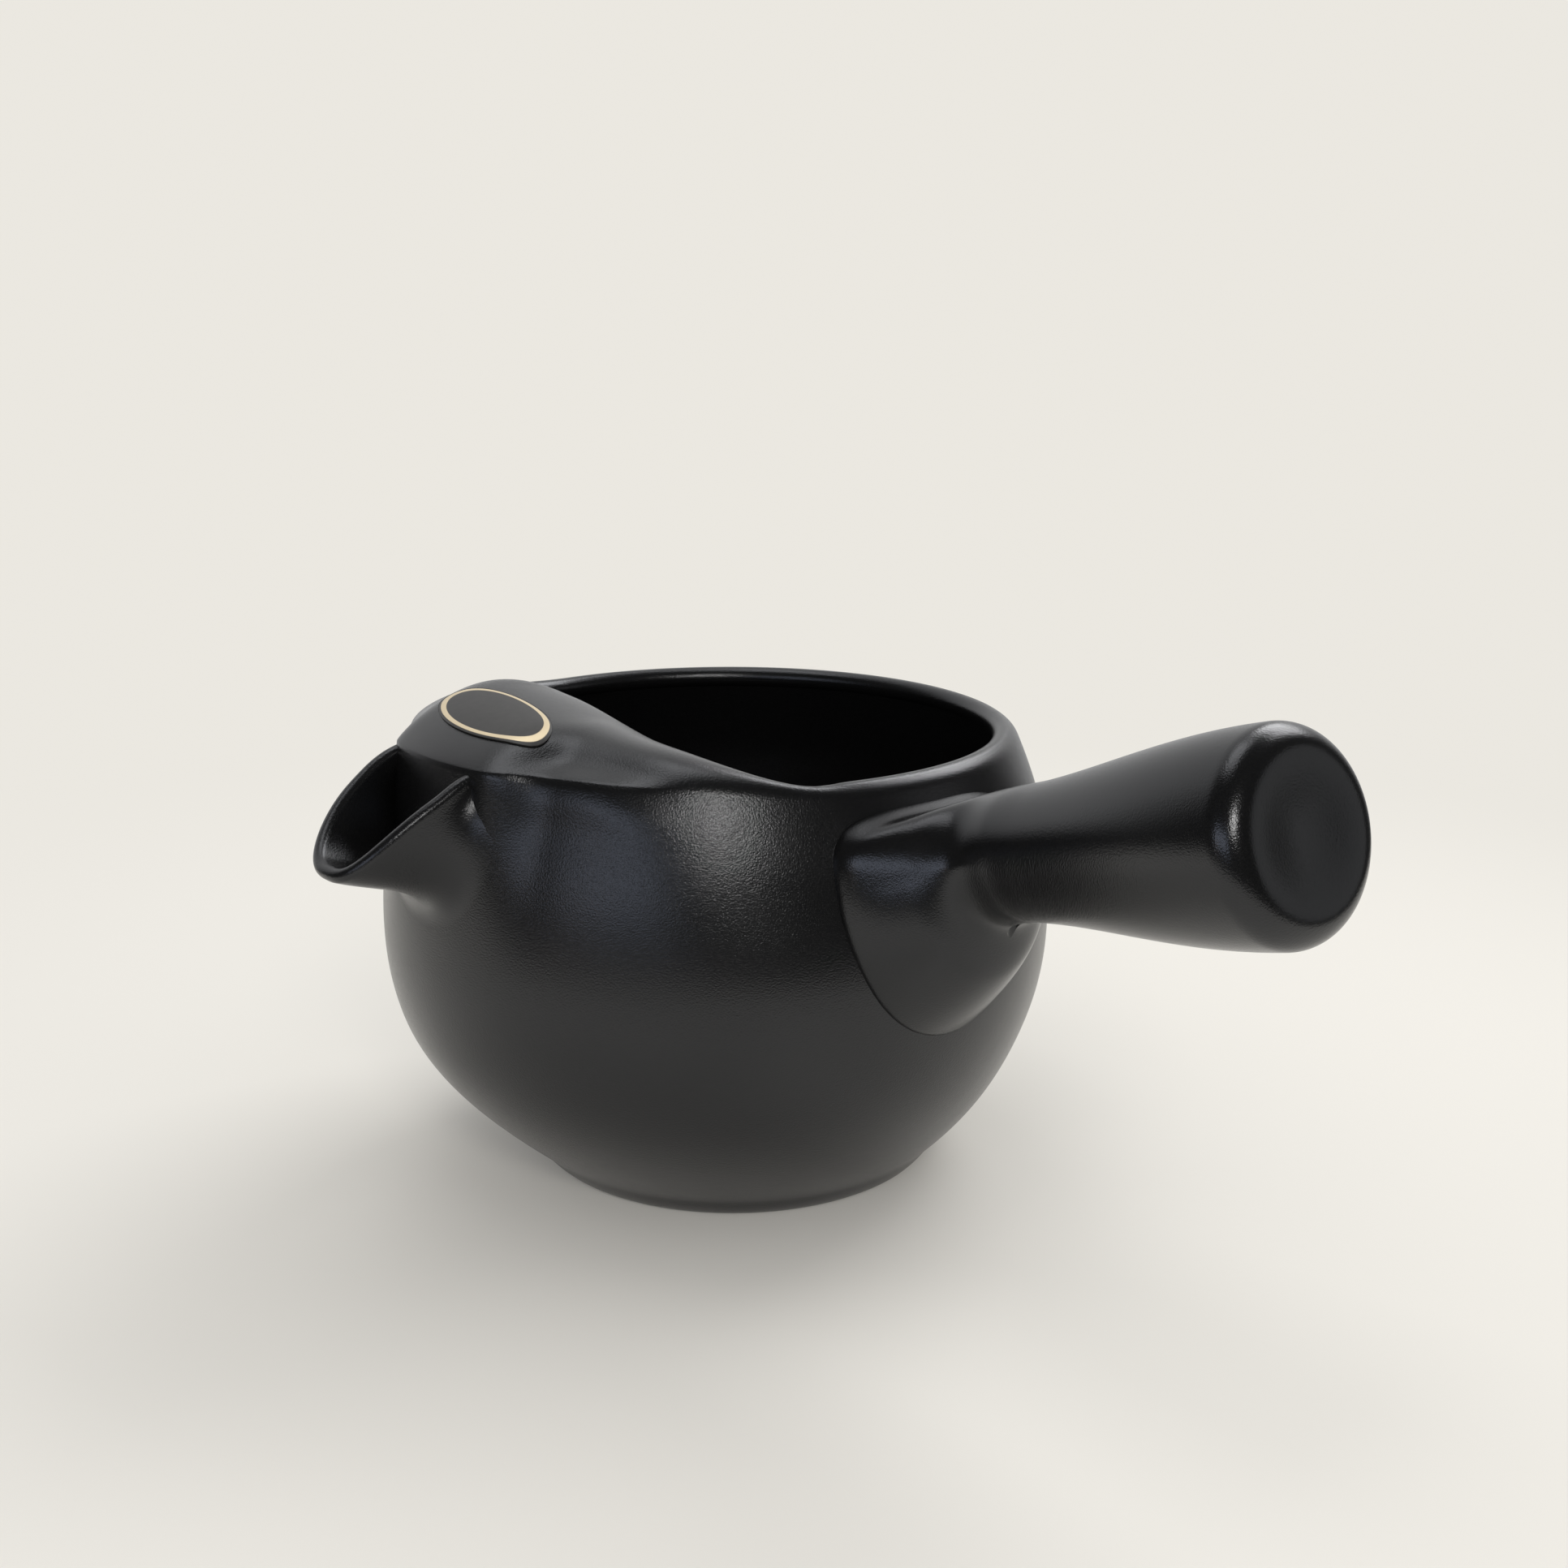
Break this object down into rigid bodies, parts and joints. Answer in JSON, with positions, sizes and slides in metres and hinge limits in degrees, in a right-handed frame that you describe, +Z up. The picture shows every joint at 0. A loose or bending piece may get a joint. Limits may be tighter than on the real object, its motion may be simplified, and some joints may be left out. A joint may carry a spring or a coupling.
{
  "type": "lidless teapot",
  "caption": "Lidless side-handled teapot of black glazed clay: round bowl with a hooded front, duckbill spout, hollow side handle and a pierced clay strainer inside.",
  "frame": {"origin": "centre of the foot's resting face, on the axis of the foot", "axes": "+Z up, the spout points to -X, the handle points to -Y"},
  "size_m": [0.1327, 0.1841, 0.097],
  "materials": {
    "pot_body": "satin black glaze",
    "spout": "satin black glaze",
    "handle": "satin black glaze",
    "strainer": "satin black glaze",
    "label": "dark foil paper with a pale gold ring"
  },
  "bodies": {
    "root": {"pot_body": "pot_body", "spout": "spout", "handle": "handle", "strainer": "strainer", "label": "label"}
  },
  "joints": []
}
